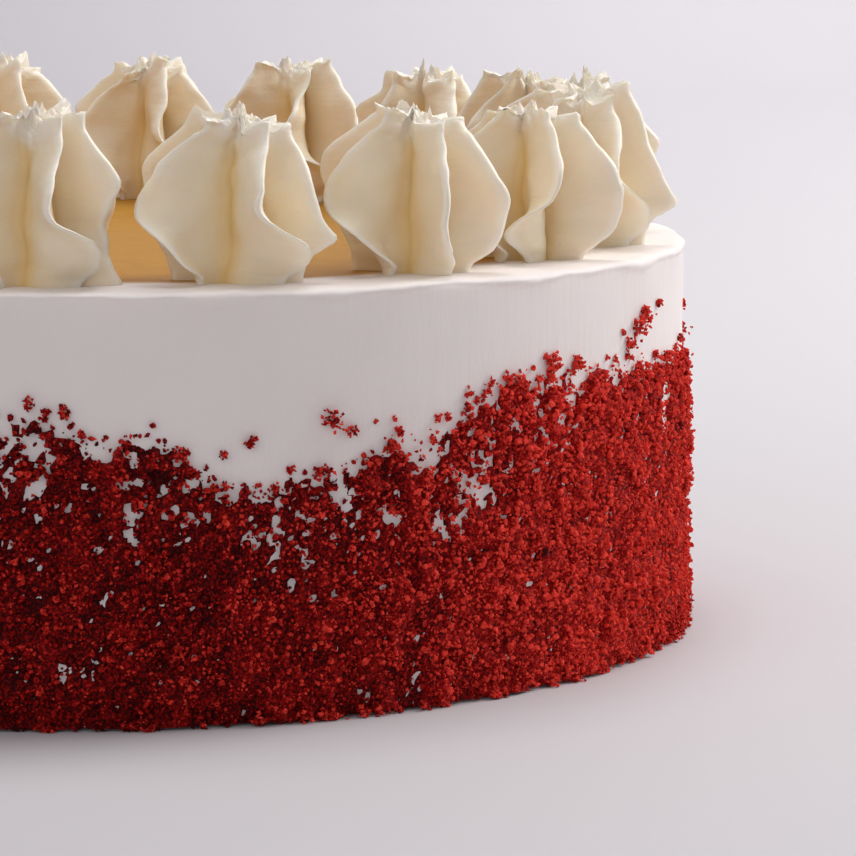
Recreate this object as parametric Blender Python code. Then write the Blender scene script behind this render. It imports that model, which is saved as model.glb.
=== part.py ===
"""A round red velvet cake: white frosting, red crumbs pressed on its side, and a ring of piped swirls.

Metres, +Z up, origin at the centre of the foot. The cake is one solid with its crumbs fused on.
Each swirl is its own solid: six thin fins round a core, curled at the foot and torn off at the top.
"""

import math
import random

import bmesh
import bpy
import numpy as np
from mathutils import Matrix, Vector

# The coated cake: an eight-inch round.
CAKE_RADIUS = 0.1015
CAKE_HEIGHT = 0.0665
RIM_ROUNDING = 0.0012
FOOT_UNDERCUT = 0.0006

# The crumb coat. Its upper edge runs up and down round the cake, as (degrees from +X, height) pairs.
CRUMB_LINE = (
    (-100, 0.0470), (-95, 0.0475), (-90, 0.0440), (-85, 0.0450), (-80, 0.0380), (-76, 0.0365),
    (-70, 0.0390), (-64, 0.0415), (-57, 0.0455), (-50, 0.0505), (-40, 0.0505), (-28, 0.0490),
    (-14, 0.0480), (0, 0.0455), (14, 0.0400), (30, 0.0380), (46, 0.0425), (62, 0.0480),
    (76, 0.0490), (92, 0.0440), (106, 0.0390), (120, 0.0375), (136, 0.0420), (150, 0.0470),
    (166, 0.0500), (182, 0.0465), (198, 0.0410), (214, 0.0390), (230, 0.0430), (246, 0.0465),
)
CRUMB_COAT = (0.0004, 0.0028)
CRUMB_FOOT = 0.0010
CRUMB_STEP = 0.0011
CRUMB_ROWS = 10
AROUND = 112
CRUMB_SEED = 11

# Loose clumps: some above the line, some fallen against the foot.
CLUMPS_ABOVE = 30
CLUMP_LIFT = 0.0022
CLUMP_RISE = 0.0085
RISE_POWER = 2.5
CLUMPS_AT_FOOT = 14
FALLEN_HEIGHT = 1.25
CLUMP_RADIUS = (0.0010, 0.0019)
CLUMP_BULGE = 0.25
FALLEN_BULGE = 0.55
CLUMP_UNEVEN = (0.75, 1.2)
CLUMP_SEED = 23

# The ring of swirls.
SWIRL_COUNT = 18
SWIRL_RING_RADIUS = 0.0850
SWIRL_START = -96.6
SWIRL_HEIGHT = 0.0262
SWIRL_GAP = 0.0003
SWIRL_SEED = 7
# How far round some swirls sit from their even places, in degrees.
SWIRL_SHIFTS = {1: 0.9, 2: 2.6, 3: 2.0, 4: 0.6}
# How tall some swirls are, as a share of the usual height.
SWIRL_GROWTH = {2: 0.97, 3: 0.92, 8: 0.95, 11: 0.96, 15: 0.94}
FIN_ANGLES = (0, 57, 115, 172, 229, 286)
FIN_COUNT = len(FIN_ANGLES)
# Rims of the kinds of fin: (share of the height, distance from the axis).
FULL = (
    (0, 0.0088), (0.03, 0.0112), (0.07, 0.0125), (0.12, 0.0134), (0.17, 0.0144), (0.26, 0.0154),
    (0.4, 0.0162), (0.5, 0.0161), (0.6, 0.0152), (0.68, 0.0141), (0.76, 0.0125), (0.85, 0.0106),
    (0.93, 0.0091), (1, 0.0079),
)
FLAG = (
    (0, 0.0138), (0.05, 0.0134), (0.12, 0.0122), (0.22, 0.0110), (0.33, 0.0113), (0.43, 0.0129),
    (0.54, 0.0151), (0.61, 0.0153), (0.7, 0.0140), (0.78, 0.0122), (0.88, 0.0101), (1, 0.0080),
)
FLARE = (
    (0, 0.0108), (0.08, 0.0112), (0.13, 0.0124), (0.17, 0.0150), (0.205, 0.0178), (0.24, 0.0182),
    (0.3, 0.0168), (0.4, 0.0150), (0.52, 0.0138), (0.66, 0.0124), (0.8, 0.0110), (0.92, 0.0095),
    (1, 0.0084),
)
HIGH = (
    (0, 0.0108), (0.2, 0.0132), (0.4, 0.0152), (0.55, 0.0170), (0.66, 0.0176), (0.74, 0.0166),
    (0.81, 0.0142), (0.88, 0.0112), (0.94, 0.0090), (1, 0.0076),
)
# How far rims lean round the axis: (share of the height, degrees).
LOBE = (
    (0, 46), (0.05, 56), (0.09, 55), (0.13, 48), (0.17, 46), (0.22, 38), (0.28, 27), (0.34, 13),
    (0.4, 2), (0.48, -3), (0.6, 1), (0.72, 7), (0.85, 14), (1, 22),
)
BEND = (
    (0, 24), (0.05, 31), (0.1, 29), (0.14, 24), (0.2, 19), (0.28, 9), (0.34, -4), (0.42, -13),
    (0.52, -17), (0.64, -12), (0.78, -6), (0.88, 6), (1, 26),
)
EASY = ((0, 12), (0.1, 10), (0.25, 12), (0.4, 5), (0.6, 0), (0.8, 3), (1, 8))
BACKWARD = (
    (0, -14), (0.08, -24), (0.16, -30), (0.24, -28), (0.32, -16), (0.42, -2), (0.55, 6), (0.7, 8),
    (0.85, 10), (1, 14),
)
PLAIN = ((0, 16), (0.06, 14), (0.14, 4), (0.25, -2), (0.4, -3), (0.6, -2), (0.8, 4), (1, 10))
FIN_KINDS = {
    "a": (FULL, LOBE), "b": (FLAG, EASY), "c": (FLARE, EASY), "d": (HIGH, EASY),
    "e": (FULL, BEND), "f": (FULL, EASY), "g": (FULL, BACKWARD), "h": (FULL, PLAIN),
}
# Each swirl: where its first fin points, in degrees from +X, and the kinds of its fins.
SWIRLS = (
    (-78, "abfdde"), (-79, "acfdde"), (-76, "hffdde"), (-80, "gffdde"), (-75, "acbfde"), (-70, "abfedf"),
    (-62, "fcadbe"), (-80, "aebfdc"), (-88, "ebafdf"), (-82, "abcfde"), (-70, "gbfade"), (-60, "acfbde"),
    (-79, "fbadce"), (-66, "aefbdf"), (-84, "acbfde"), (-72, "gbfdae"), (-60, "abfcde"), (-77, "afbdce"),
)
GROOVE_PROFILE = ((0, 0.0042), (0.1, 0.0040), (0.2, 0.0037), (0.35, 0.0032), (0.6, 0.0027), (1, 0.0020))
SWEEP_POWER = 1.6
# How much higher up a fin's root begins to curl than its rim, as a share of the height.
CURL_LAG = 0.08
# Half a fin's thickness at its rim, and at its root near the top and near the foot.
RIM_HALF = 0.00050
ROOT_HALF = (0.0016, 0.0019)
TAPER = 0.8
THICK_TOP = 0.45
THICK_FULL = 0.12
CROWN_DIP = 0.0030
UNEVEN_HEIGHT = 0.04
UNEVEN_REACH = (0.95, 1.04)
UNEVEN_SWEEP = (0.85, 1.12)
UNEVEN_TURN = 4
UNEVEN_TIP = (-0.0014, 0.0010)
LEAN = 0.0006
# How the fins of neighbouring swirls are kept apart.
BLADE_STEPS = np.linspace(0.3, 1.0, 8)
LIMIT_SHARES = np.linspace(0, 1, 26)
LIMIT_ROUNDS = 90
LIMIT_STEP = 0.00015
FIN_GAP = 0.0007
LEVELS = (0.0, 0.1, 0.22, 0.34, 0.46, 0.62, 0.8, 1.0)
# Where a section's points lie on a fin: (share of the way out, side), behind and then in front.
FIN_STATIONS = ((0.45, -1), (1.0, -1), (1.0, 1), (0.45, 1))


def clear_scene():
    for old in list(bpy.data.objects):
        bpy.data.objects.remove(old)


def smoothstep(x):
    x = min(max(x, 0.0), 1.0)
    return x * x * (3 - 2 * x)


def smooth_through(points, x):
    """The value at x on a smooth curve through (x, value) pairs."""
    last = len(points) - 1
    i = next((n for n in range(last) if x <= points[n + 1][0]), last - 1)

    def slope(n):
        low, high = points[max(n - 1, 0)], points[min(n + 1, last)]
        return (high[1] - low[1]) / (high[0] - low[0])

    (x0, y0), (x1, y1) = points[i], points[i + 1]
    width = x1 - x0
    t = min(max((x - x0) / width, 0.0), 1.0)
    rise = y0 * (1 + 2 * t) * (1 - t) ** 2 + y1 * t * t * (3 - 2 * t)
    return rise + width * (slope(i) * t * (1 - t) ** 2 + slope(i + 1) * t * t * (t - 1))


def crumb_line(angle):
    """The height of the crumb coat's upper edge at an angle in radians."""
    first = CRUMB_LINE[0][0]
    degrees = (math.degrees(angle) - first) % 360 + first
    closed = (
        (CRUMB_LINE[-1][0] - 360, CRUMB_LINE[-1][1]),
        *CRUMB_LINE,
        (first + 360, CRUMB_LINE[0][1]),
    )
    return smooth_through(closed, degrees)


def material(name, color, roughness):
    made = bpy.data.materials.new(name)
    made.use_nodes = True
    shader = made.node_tree.nodes["Principled BSDF"]
    shader.inputs["Base Color"].default_value = (*color, 1.0)
    shader.inputs["Roughness"].default_value = roughness
    shader.inputs["Metallic"].default_value = 0.0
    return made


def add_object(name, bm, materials):
    mesh = bpy.data.meshes.new(name)
    bm.to_mesh(mesh)
    bm.free()
    for one in materials:
        mesh.materials.append(one)
    mesh.shade_smooth()
    mesh.set_sharp_from_angle(angle=math.radians(40))
    made = bpy.data.objects.new(name, mesh)
    bpy.context.scene.collection.objects.link(made)
    return made


# ---- the coated cake -------------------------------------------------------------------------


def cake_rows():
    """The outline from foot to rim: each row's (radius, height) at an angle, and whether it is crumb."""
    draw = random.Random(CRUMB_SEED)
    rows = [(lambda angle: (CAKE_RADIUS - FOOT_UNDERCUT, 0.0), False)]
    for row in range(CRUMB_ROWS):
        share = row / (CRUMB_ROWS - 1)

        def crumb(angle, share=share):
            top = crumb_line(angle)
            height = CRUMB_FOOT + share * (top - CRUMB_FOOT) + draw.uniform(-0.5, 0.5) * CRUMB_STEP
            return CAKE_RADIUS + draw.uniform(*CRUMB_COAT), height

        rows.append((crumb, True))
    rows.append((lambda angle: (CAKE_RADIUS, crumb_line(angle) + CRUMB_STEP), False))
    for turn in (0.0, 45.0, 90.0):
        bend = math.radians(turn)
        radius = CAKE_RADIUS - RIM_ROUNDING * (1 - math.cos(bend))
        height = CAKE_HEIGHT - RIM_ROUNDING * (1 - math.sin(bend))
        rows.append((lambda angle, at=(radius, height): at, False))
    return rows


def cake_body():
    """The lathe-like body. Every other row is half a step round, for near-equal triangles."""
    bm = bmesh.new()
    rings, crumbs = [], []
    for number, (place, is_crumb) in enumerate(cake_rows()):
        ring = []
        for step in range(AROUND):
            angle = 2 * math.pi * (step + 0.5 * (number % 2)) / AROUND
            radius, height = place(angle)
            ring.append(bm.verts.new((radius * math.cos(angle), radius * math.sin(angle), height)))
        rings.append(ring)
        crumbs.append(is_crumb)
    for number, (low, high) in enumerate(zip(rings, rings[1:])):
        for step in range(AROUND):
            after = (step + 1) % AROUND
            if number % 2 == 0:
                faces = ((low[step], low[after], high[step]), (low[after], high[after], high[step]))
            else:
                faces = ((low[step], low[after], high[after]), (low[step], high[after], high[step]))
            for corners in faces:
                bm.faces.new(corners).material_index = int(crumbs[number] or crumbs[number + 1])
    bm.faces.new(reversed(rings[0]))
    bm.faces.new(rings[-1])
    return bm


def clump_mesh(bm, draw, center, radius):
    """An uneven lump of crumb about center."""
    matrix = Matrix.Translation(center)
    made = bmesh.ops.create_icosphere(bm, subdivisions=1, radius=radius, matrix=matrix)
    for vert in made["verts"]:
        vert.co = center + (vert.co - center) * draw.uniform(*CLUMP_UNEVEN)


def clump_places(draw):
    """Where the loose clumps sit, as (centre, radius)."""
    places = []
    for number in range(CLUMPS_ABOVE):
        angle = 2 * math.pi * (number + draw.uniform(0.1, 0.9)) / CLUMPS_ABOVE
        radius = draw.uniform(*CLUMP_RADIUS)
        height = crumb_line(angle) + CLUMP_LIFT + CLUMP_RISE * draw.random() ** RISE_POWER
        places.append((angle, CAKE_RADIUS + CLUMP_BULGE * radius, height, radius))
    for number in range(CLUMPS_AT_FOOT):
        angle = 2 * math.pi * (number + draw.uniform(0.2, 0.8)) / CLUMPS_AT_FOOT
        radius = draw.uniform(*CLUMP_RADIUS)
        out = CAKE_RADIUS + CRUMB_COAT[0] + FALLEN_BULGE * radius
        places.append((angle, out, FALLEN_HEIGHT * radius, radius))
    return [
        (Vector((out * math.cos(angle), out * math.sin(angle), height)), radius)
        for angle, out, height, radius in places
    ]


def fuse_clumps(cake, crumb):
    """Joins the loose clumps to the cake by one Boolean union."""
    draw = random.Random(CLUMP_SEED)
    clumps = bpy.data.collections.new("clumps")
    bpy.context.scene.collection.children.link(clumps)
    for center, radius in clump_places(draw):
        bm = bmesh.new()
        clump_mesh(bm, draw, center, radius)
        mesh = bpy.data.meshes.new("clump")
        bm.to_mesh(mesh)
        bm.free()
        mesh.materials.append(crumb)
        clumps.objects.link(bpy.data.objects.new("clump", mesh))
    union = cake.modifiers.new("crumbs", "BOOLEAN")
    union.operation = "UNION"
    union.operand_type = "COLLECTION"
    union.collection = clumps
    union.solver = "EXACT"
    bpy.context.view_layer.objects.active = cake
    bpy.ops.object.modifier_apply(modifier=union.name)
    for clump in list(clumps.objects):
        bpy.data.objects.remove(clump)
    bpy.data.collections.remove(clumps)
    for face in cake.data.polygons:
        face.use_smooth = face.material_index == 0


# ---- the piped swirls ------------------------------------------------------------------------


def heading(angle):
    """The level unit vector at an angle."""
    return Vector((math.cos(angle), math.sin(angle), 0.0))


def swirl_draws(index):
    """What makes one swirl differ from the next."""
    draw = random.Random(SWIRL_SEED + index)
    front, kinds = SWIRLS[index]
    place = SWIRL_START + SWIRL_SHIFTS.get(index, 0) + index * 360 / SWIRL_COUNT
    height = SWIRL_HEIGHT * SWIRL_GROWTH.get(index, 1)
    return {
        "bearing": math.radians(place),
        "height": height * draw.uniform(1 - UNEVEN_HEIGHT, 1 + UNEVEN_HEIGHT),
        "lean": Vector((draw.uniform(-LEAN, LEAN), draw.uniform(-LEAN, LEAN), 0)),
        "kinds": [FIN_KINDS[letter] for letter in kinds],
        "reach": [draw.uniform(*UNEVEN_REACH) for _ in range(FIN_COUNT)],
        "turn": [
            math.radians(front + angle + draw.uniform(-UNEVEN_TURN, UNEVEN_TURN)) for angle in FIN_ANGLES
        ],
        "tip": [draw.uniform(*UNEVEN_TIP) for _ in range(FIN_COUNT)],
        "sweep": [draw.uniform(*UNEVEN_SWEEP) for _ in range(FIN_COUNT)],
    }


def along(profile, shares):
    """A profile's values at shares of the height."""
    return np.array([smooth_through(profile, share) for share in shares])


def headings(angles):
    """Level unit vectors at an array of angles."""
    return np.stack([np.cos(angles), np.sin(angles)], axis=-1)


def swirl_reaches(swirls):
    """Each fin's reach at LIMIT_SHARES, drawn in wherever it would meet a fin of the next swirl."""
    rims, leans = (
        np.array([[along(kind[half], LIMIT_SHARES) for kind in swirl["kinds"]] for swirl in swirls])
        for half in (0, 1)
    )
    reach = rims * np.array([swirl["reach"] for swirl in swirls])[..., None]
    sweep = np.radians(leans) * np.array([swirl["sweep"] for swirl in swirls])[..., None]
    groove = along(GROOVE_PROFILE, LIMIT_SHARES)[:, None]
    turn = np.array([s["turn"] for s in swirls])[..., None]
    center = headings(np.array([s["bearing"] for s in swirls]))[:, None] * SWIRL_RING_RADIUS
    center = center + np.array([s["lean"][:2] for s in swirls])[:, None] * LIMIT_SHARES[:, None]
    directions = headings(turn[..., None] + sweep[..., None] * BLADE_STEPS**SWEEP_POWER)
    halves = np.tile(RIM_HALF + (ROOT_HALF[1] - RIM_HALF) * (1 - BLADE_STEPS) ** TAPER, FIN_COUNT)
    room = halves[:, None] + halves[None] + FIN_GAP
    steps = np.tile(np.arange(len(BLADE_STEPS)), FIN_COUNT)
    for _ in range(LIMIT_ROUNDS):
        far = groove + (reach[..., None] - groove) * BLADE_STEPS
        points = center[:, None, :, None] + far[..., None] * directions
        here = np.moveaxis(points, 2, 1).reshape(len(swirls), len(LIMIT_SHARES), -1, 2)
        after = np.roll(here, -1, axis=0)
        close = np.linalg.norm(here[:, :, :, None] - after[:, :, None], axis=-1) < room
        if not close.any():
            break
        own = (close & (steps[:, None] >= steps[None] - 1)).any(axis=3)
        other = (close & (steps[None] >= steps[:, None] - 1)).any(axis=2)
        for met, way in ((own, 0), (other, 1)):
            met = met.reshape(len(swirls), len(LIMIT_SHARES), FIN_COUNT, -1).any(axis=3)
            reach -= LIMIT_STEP * np.moveaxis(np.roll(met, way, axis=0), 1, 2)
    padded = np.pad(reach, ((0, 0), (0, 0), (1, 1)), mode="edge")
    lowest = np.minimum(np.minimum(padded[..., :-2], padded[..., 2:]), reach)
    padded = np.pad(lowest, ((0, 0), (0, 0), (1, 1)), mode="edge")
    return np.minimum((padded[..., :-2] + 2 * padded[..., 1:-1] + padded[..., 2:]) / 4, reach)


def top_share(share):
    """0 up to half the height, 1 at the top."""
    return smoothstep(share * 2 - 1)


def foot_share(share):
    """1 near the foot, 0 above."""
    return 1 - smoothstep((share - THICK_FULL) / (THICK_TOP - THICK_FULL))


def fin_point(swirl, fin, share, out, side):
    """A point on a fin at a share of the height: out is 1 at the rim, side is -1 behind and 1 in front."""
    curl = max(share - CURL_LAG * (1 - out), 0)
    sweep = math.radians(smooth_through(swirl["kinds"][fin][1], curl)) * swirl["sweep"][fin]
    direction = swirl["turn"][fin] + sweep * out**SWEEP_POWER
    groove = smooth_through(GROOVE_PROFILE, share)
    rim = float(np.interp(share, LIMIT_SHARES, swirl["rims"][fin]))
    root = ROOT_HALF[0] + (ROOT_HALF[1] - ROOT_HALF[0]) * foot_share(share)
    half = RIM_HALF + (root - RIM_HALF) * (1 - out) ** TAPER
    place = heading(direction) * (groove + (rim - groove) * out)
    place += heading(direction + math.pi / 2) * half * side + swirl["lean"] * share
    place.z = swirl["height"] * share + (swirl["tip"][fin] - CROWN_DIP * (1 - out)) * top_share(share)
    return place


def groove_point(swirl, fin, share):
    """The bottom of the groove between a fin and the next one round."""
    after = (fin + 1) % FIN_COUNT
    gap = (swirl["turn"][after] - swirl["turn"][fin]) % (2 * math.pi)
    direction = swirl["turn"][fin] + gap / 2
    place = heading(direction) * smooth_through(GROOVE_PROFILE, share) + swirl["lean"] * share
    place.z = swirl["height"] * share - CROWN_DIP * top_share(share)
    return place


def swirl_section(swirl, share):
    points = []
    for fin in range(FIN_COUNT):
        points += [fin_point(swirl, fin, share, out, side) for out, side in FIN_STATIONS]
        points.append(groove_point(swirl, fin, share))
    return points


def swirl_body(swirl):
    """Sections joined by triangles. A fin's two faces are split alike, from inner low to outer high."""
    bm = bmesh.new()
    rings = [[bm.verts.new(p) for p in swirl_section(swirl, share)] for share in LEVELS]
    outs = [*(out for out, side in FIN_STATIONS), 0.0] * FIN_COUNT
    count = len(outs)
    for low, high in zip(rings, rings[1:]):
        for here in range(count):
            after = (here + 1) % count
            if outs[here] <= outs[after]:
                bm.faces.new((low[here], low[after], high[after]))
                bm.faces.new((low[here], high[after], high[here]))
            else:
                bm.faces.new((low[here], low[after], high[here]))
                bm.faces.new((low[after], high[after], high[here]))
    bm.faces.new(reversed(rings[0]))
    middle = sum((vert.co for vert in rings[-1]), Vector()) / count
    top = bm.verts.new(middle - Vector((0, 0, CROWN_DIP / 3)))
    for here in range(count):
        bm.faces.new((rings[-1][here], rings[-1][(here + 1) % count], top))
    return bm


# ---- the whole -------------------------------------------------------------------------------


def build():
    clear_scene()
    frosting = material("frosting_white", (0.86, 0.83, 0.81), 0.55)
    crumb = material("crumb_red", (0.36, 0.02, 0.02), 0.85)
    cream = material("swirl_cream", (0.90, 0.84, 0.72), 0.5)
    cake = add_object("cake", cake_body(), (frosting, crumb))
    fuse_clumps(cake, crumb)
    swirls = [swirl_draws(index) for index in range(SWIRL_COUNT)]
    for index, (swirl, rims) in enumerate(zip(swirls, swirl_reaches(swirls))):
        swirl["rims"] = rims
        made = add_object(f"swirl_{index:02d}", swirl_body(swirl), (cream,))
        made.location = heading(swirl["bearing"]) * SWIRL_RING_RADIUS
        made.location.z = CAKE_HEIGHT + SWIRL_GAP


build()
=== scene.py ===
"""The looks of a red velvet cake: smooth frosting, a coat of red crumbs and a ring of piped cream swirls.

Metres, +Z up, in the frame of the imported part: the middle of the cake's foot is the origin.
"""

import math
import random

import bmesh
import bpy
import numpy as np
from mathutils import Euler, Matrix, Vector


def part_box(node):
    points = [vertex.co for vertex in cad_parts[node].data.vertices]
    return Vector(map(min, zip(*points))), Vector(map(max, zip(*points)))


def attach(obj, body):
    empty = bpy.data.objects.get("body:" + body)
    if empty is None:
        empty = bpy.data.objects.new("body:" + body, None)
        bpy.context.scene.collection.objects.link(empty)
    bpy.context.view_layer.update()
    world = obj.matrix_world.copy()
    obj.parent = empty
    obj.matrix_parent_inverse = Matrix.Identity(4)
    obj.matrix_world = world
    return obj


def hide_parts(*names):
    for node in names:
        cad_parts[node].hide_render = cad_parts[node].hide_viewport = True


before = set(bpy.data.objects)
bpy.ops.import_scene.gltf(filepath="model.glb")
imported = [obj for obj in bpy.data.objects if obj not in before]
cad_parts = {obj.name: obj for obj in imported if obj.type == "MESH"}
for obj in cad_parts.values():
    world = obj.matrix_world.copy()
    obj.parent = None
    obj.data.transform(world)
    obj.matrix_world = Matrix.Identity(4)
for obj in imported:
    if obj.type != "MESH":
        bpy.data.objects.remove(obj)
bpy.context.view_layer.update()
BODY = "root"

# The cake, as the part has it.
CAKE_RADIUS = 0.1015
CAKE_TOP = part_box("cake")[1].z
MM = 0.001

# The camera: where it stands from the middle of the cake's foot, where it looks, and its lens.
CAMERA_PLACE = (0.0, -0.7017, 0.1282)
CAMERA_DOWN = 7.787
CAMERA_RIGHT = 4.674
CAMERA_LENS = 168.9
CAMERA_SENSOR = 36.0
CAMERA_CLIP = (0.01, 50)

# The crumb coat's upper edge, as in the part: (degrees from +X, height).
CRUMB_LINE = (
    (-100, 0.047), (-95, 0.0475), (-90, 0.044), (-85, 0.045), (-80, 0.038), (-76, 0.0365),
    (-70, 0.039), (-64, 0.0415), (-57, 0.0455), (-50, 0.0505), (-40, 0.0505), (-28, 0.049),
    (-14, 0.048), (0, 0.0455), (14, 0.04), (30, 0.038), (46, 0.0425), (62, 0.048),
    (76, 0.049), (92, 0.044), (106, 0.039), (120, 0.0375), (136, 0.042), (150, 0.047),
    (166, 0.05), (182, 0.0465), (198, 0.041), (214, 0.039), (230, 0.043), (246, 0.0465),
)

# The swirls, as in the part.
SWIRL_COUNT = 18
SWIRL_RING_RADIUS = 0.0850
SWIRL_START = -96.6
SWIRL_HEIGHT = 0.0262
SWIRL_GAP = 0.0003
SWIRL_SEED = 7
# How far round some swirls sit from their even places, in degrees.
SWIRL_SHIFTS = {1: 0.9, 2: 2.6, 3: 2.0, 4: 0.6}
# How tall some swirls are, as a share of the usual height.
SWIRL_GROWTH = {2: 0.97, 3: 0.92, 8: 0.95, 11: 0.96, 15: 0.94}
FIN_ANGLES = (0, 57, 115, 172, 229, 286)
FIN_COUNT = len(FIN_ANGLES)
# Rims of the kinds of fin: (share of the height, distance from the axis).
FULL = (
    (0, 0.0088), (0.03, 0.0112), (0.07, 0.0125), (0.12, 0.0134), (0.17, 0.0144), (0.26, 0.0154),
    (0.4, 0.0162), (0.5, 0.0161), (0.6, 0.0152), (0.68, 0.0141), (0.76, 0.0125), (0.85, 0.0106),
    (0.93, 0.0091), (1, 0.0079),
)
FLAG = (
    (0, 0.0138), (0.05, 0.0134), (0.12, 0.0122), (0.22, 0.011), (0.33, 0.0113), (0.43, 0.0129),
    (0.54, 0.0151), (0.61, 0.0153), (0.7, 0.014), (0.78, 0.0122), (0.88, 0.0101), (1, 0.008),
)
FLARE = (
    (0, 0.0108), (0.08, 0.0112), (0.13, 0.0124), (0.17, 0.015), (0.205, 0.0178), (0.24, 0.0182),
    (0.3, 0.0168), (0.4, 0.015), (0.52, 0.0138), (0.66, 0.0124), (0.8, 0.011), (0.92, 0.0095),
    (1, 0.0084),
)
HIGH = (
    (0, 0.0108), (0.2, 0.0132), (0.4, 0.0152), (0.55, 0.017), (0.66, 0.0176), (0.74, 0.0166),
    (0.81, 0.0142), (0.88, 0.0112), (0.94, 0.009), (1, 0.0076),
)
# How far rims lean round the axis: (share of the height, degrees).
LOBE = (
    (0, 46), (0.05, 56), (0.09, 55), (0.13, 48), (0.17, 46), (0.22, 38), (0.28, 27), (0.34, 13),
    (0.4, 2), (0.48, -3), (0.6, 1), (0.72, 7), (0.85, 14), (1, 22),
)
BEND = (
    (0, 24), (0.05, 31), (0.1, 29), (0.14, 24), (0.2, 19), (0.28, 9), (0.34, -4), (0.42, -13),
    (0.52, -17), (0.64, -12), (0.78, -6), (0.88, 6), (1, 26),
)
EASY = ((0, 12), (0.1, 10), (0.25, 12), (0.4, 5), (0.6, 0), (0.8, 3), (1, 8))
BACKWARD = (
    (0, -14), (0.08, -24), (0.16, -30), (0.24, -28), (0.32, -16), (0.42, -2), (0.55, 6), (0.7, 8),
    (0.85, 10), (1, 14),
)
PLAIN = ((0, 16), (0.06, 14), (0.14, 4), (0.25, -2), (0.4, -3), (0.6, -2), (0.8, 4), (1, 10))
FIN_KINDS = {
    "a": (FULL, LOBE), "b": (FLAG, EASY), "c": (FLARE, EASY), "d": (HIGH, EASY),
    "e": (FULL, BEND), "f": (FULL, EASY), "g": (FULL, BACKWARD), "h": (FULL, PLAIN),
}
# Each swirl: where its first fin points, in degrees from +X, and the kinds of its fins.
SWIRLS = (
    (-78, "abfdde"), (-79, "acfdde"), (-76, "hffdde"), (-80, "gffdde"), (-75, "acbfde"), (-70, "abfedf"),
    (-62, "fcadbe"), (-80, "aebfdc"), (-88, "ebafdf"), (-82, "abcfde"), (-70, "gbfade"), (-60, "acfbde"),
    (-79, "fbadce"), (-66, "aefbdf"), (-84, "acbfde"), (-72, "gbfdae"), (-60, "abfcde"), (-77, "afbdce"),
)
GROOVE_PROFILE = ((0, 0.0042), (0.1, 0.0040), (0.2, 0.0037), (0.35, 0.0032), (0.6, 0.0027), (1, 0.0020))
SWEEP_POWER = 1.6
# How much higher up a fin's root begins to curl than its rim, as a share of the height.
CURL_LAG = 0.08
# Half a fin's thickness at its rim, and at its root near the top and near the foot.
RIM_HALF = 0.00050
ROOT_HALF = (0.0016, 0.0019)
TAPER = 0.8
THICK_TOP = 0.45
THICK_FULL = 0.12
CROWN_DIP = 0.0030
UNEVEN_HEIGHT = 0.04
UNEVEN_REACH = (0.95, 1.04)
UNEVEN_SWEEP = (0.85, 1.12)
UNEVEN_TURN = 4
UNEVEN_TIP = (-0.0014, 0.0010)
LEAN = 0.0006
# How the fins of neighbouring swirls are kept apart.
BLADE_STEPS = np.linspace(0.3, 1.0, 8)
LIMIT_SHARES = np.linspace(0, 1, 26)
LIMIT_ROUNDS = 90
LIMIT_STEP = 0.00015
FIN_GAP = 0.0007
# How finely a swirl is made.
SWIRL_LEVELS = 46
FIN_STEPS = 9
CROWN_RINGS = 9
# How much closer together a swirl's levels are at its foot and its crown.
LEVEL_SQUEEZE = 0.06
# The most half a fin's thickness may be, as a share of its distance from the axis.
CORE_ROOM = 0.42
# How far a swirl's faces wander: (size of the waves, depth).
SWIRL_WAVES = ((0.0075, 0.0007), (0.003, 0.00022))
# How far down a swirl's lowest points go, into the frosting.
SWIRL_FOOT = -0.0005
# The torn crown: from which share of the height, over how much of it, how far its cream is shaken along each
# axis, how high its spikes are, and how deep its dips are as a share of that.
TORN_FROM = 0.86
TORN_OVER = 0.12
TORN_SHAKE = (0.0007, 0.0007, 0.0006)
TORN_SPIKES = 0.0018
TORN_DIPS = 0.15
# The heap of cream inside the crown: its radius, height, spikes and ridges, and the roughness round it.
HEAP_RADIUS = 0.0034
HEAP_HEIGHT = 0.0012
HEAP_SPIKES = 0.0024
HEAP_RIDGES = 0.001
CROWN_SPIKES = 0.0006
CROWN_GRAIN = 0.0004
# How strongly the painted highlight whitens the rims of the fins, the torn crown and the flanks, from 0 to 1.
RIM_HIGHLIGHT = 0.8
FLANK_HIGHLIGHT = 0.2

# The frosting: points round it, rows up its side and rows over its rim.
FROSTING_AROUND = 440
SIDE_ROWS = 56
RIM_ROWS = 6
RIM_ROUNDING = 0.0012
# How far in and how far up the bevel at the foot goes.
FOOT_BEVEL = (0.0014, 0.0006)
# Where the top's rows lie, as shares of the radius: closest where the painted golden shade of the middle
# begins.
TOP_SHARES = (
    0.975, 0.95, 0.92, 0.9, 0.88, 0.865, 0.85, 0.835, 0.82, 0.8, 0.78, 0.74, 0.66, 0.5, 0.3, 0.1, 0.0,
)
# The uneven rim: how far down and in it reaches, over what distance it fades, and how far it wanders outward
# and upward.
RIM_BAND = (0.005, 0.006)
RIM_FADE = 0.004
RIM_WAVE = 0.0003
RIM_RISE = 0.0004
# How far the rest of the frosting wanders outward.
SIDE_WAVE = 0.00012
# The thin lip at the rim: how far down it hangs, how much that varies, as layers of noise (size, depth,
# seed), how far it stands out and how much that varies.
LIP_HANG = 0.0011
LIP_LAYERS = ((0.16, 0.0004, 21), (0.05, 0.0003, 22))
LIP_OUT = 0.00035
LIP_VARIES = 0.00012
# Places where the lip was smeared further down: (degrees from +X, half width in degrees, mm).
RIM_SMEARS = (
    (-80, 2.6, 1.3), (-30, 3.5, 0.8), (24, 5, 1.2), (77, 3, 0.9), (131, 6, 1.1), (200, 3, 1.4), (233, 4, 0.7),
)
# The painted golden shade on the middle of the top: its radius, how far its border wanders and how wide the
# border is.
SHADED_TOP_RADIUS = 0.0865
SHADED_TOP_WANDER = 0.0012
SHADED_TOP_BORDER = 0.004

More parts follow.
